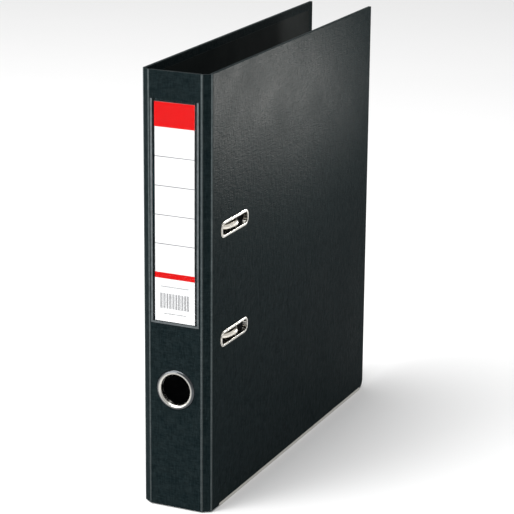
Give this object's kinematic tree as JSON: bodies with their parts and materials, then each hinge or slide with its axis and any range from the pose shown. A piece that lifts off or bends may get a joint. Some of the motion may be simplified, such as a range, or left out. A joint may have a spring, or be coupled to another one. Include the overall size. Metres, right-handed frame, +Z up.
{
  "type": "lever arch file",
  "caption": "A4 lever arch file: board case with slotted front cover, thumb ring and label pocket, and a lever mechanism whose arches open and whose compressor slides on the posts",
  "frame": {"origin": "the bottom centre of the bounding box, on the surface the file stands on", "axes": "+X points from the back cover to the slotted front cover, +Y from the spine to the free edge of the covers, +Z up; the spine faces -Y"},
  "size_m": [0.0553, 0.2912, 0.318],
  "materials": {
    "cover_film": "black PP film with a fine linen emboss",
    "lining": "smooth satin black film",
    "board": "grey-brown pressed board, cut edges",
    "nickel": "bright nickel plate on steel",
    "wire": "nickel plated drawn wire",
    "spring_steel": "satin spring steel",
    "grip": "moulded black plastic",
    "label_card": "coated card with a red block, white fields and grey lines",
    "clear_film": "clear soft film, welded at the edges"
  },
  "bodies": {
    "case_spine": {"spine_board": "board", "spine_film": "cover_film", "spine_lining": "lining", "thumb_ring": "nickel", "thumb_ring_washer": "nickel", "label_pocket": "clear_film", "label_card": "label_card"},
    "front_hinge": {"front_hinge_strip": "cover_film"},
    "front_cover": {"front_board": "board", "front_film": "cover_film", "front_lining": "lining", "slot_eyelet_upper": "nickel", "slot_eyelet_lower": "nickel", "slot_washer_upper": "nickel", "slot_washer_lower": "nickel", "front_rail": "nickel"},
    "back_hinge": {"back_hinge_strip": "cover_film"},
    "back_cover": {"back_board": "board", "back_film": "cover_film", "back_lining": "lining", "back_rail": "nickel", "base_plate": "nickel", "base_rivets": "nickel", "post_upper": "nickel", "post_lower": "nickel", "return_spring": "spring_steel", "spring_rivet": "nickel", "lever_pin": "nickel"},
    "arches": {"arch_wire": "wire"},
    "lever": {"lever": "nickel", "lever_grip": "grip", "roller_pin": "nickel"},
    "roller": {"roller": "spring_steel"},
    "compressor": {"compressor_bar": "nickel", "compressor_clips": "spring_steel"}
  },
  "joints": [
    {"name": "front_spine_crease", "type": "hinge", "parent": "case_spine", "child": "front_hinge", "pos_m": [0.0195, -0.1438, 0.16], "axis": [0, 0, -1], "range_deg": [0, 90]},
    {"name": "front_cover_crease", "type": "hinge", "parent": "front_hinge", "child": "front_cover", "pos_m": [0.02505, -0.1398, 0.16], "axis": [0, 0, -1], "range_deg": [0, 90]},
    {"name": "back_spine_crease", "type": "hinge", "parent": "case_spine", "child": "back_hinge", "pos_m": [-0.0207, -0.1438, 0.16], "axis": [0, 0, 1], "range_deg": [0, 90]},
    {"name": "back_cover_crease", "type": "hinge", "parent": "back_hinge", "child": "back_cover", "pos_m": [-0.02625, -0.1398, 0.16], "axis": [0, 0, 1], "range_deg": [0, 90]},
    {"name": "lever_pivot", "type": "hinge", "parent": "back_cover", "child": "lever", "pos_m": [-0.01205, -0.0944, 0.147], "axis": [0, 1, 0], "range_deg": [0, 45]},
    {"name": "arch_pivot", "type": "hinge", "parent": "back_cover", "child": "arches", "pos_m": [-0.01995, -0.1024, 0.19], "axis": [0, 0, -1], "range_deg": [0, 30]},
    {"name": "roller_spin", "type": "hinge", "parent": "lever", "child": "roller", "pos_m": [-0.0144, -0.0944, 0.156], "axis": [0, 1, 0], "range_deg": [0, 90]},
    {"name": "compressor_slide", "type": "slide", "parent": "back_cover", "child": "compressor", "axis": [1, 0, 0], "range_m": [0, 0.018]}
  ],
  "couplings": [
    {"joint": "front_cover_crease", "follows": "front_spine_crease", "ratio": 1},
    {"joint": "back_cover_crease", "follows": "back_spine_crease", "ratio": 1},
    {"joint": "arch_pivot", "follows": "lever_pivot", "ratio": 0.66667},
    {"joint": "roller_spin", "follows": "lever_pivot", "ratio": 2}
  ]
}
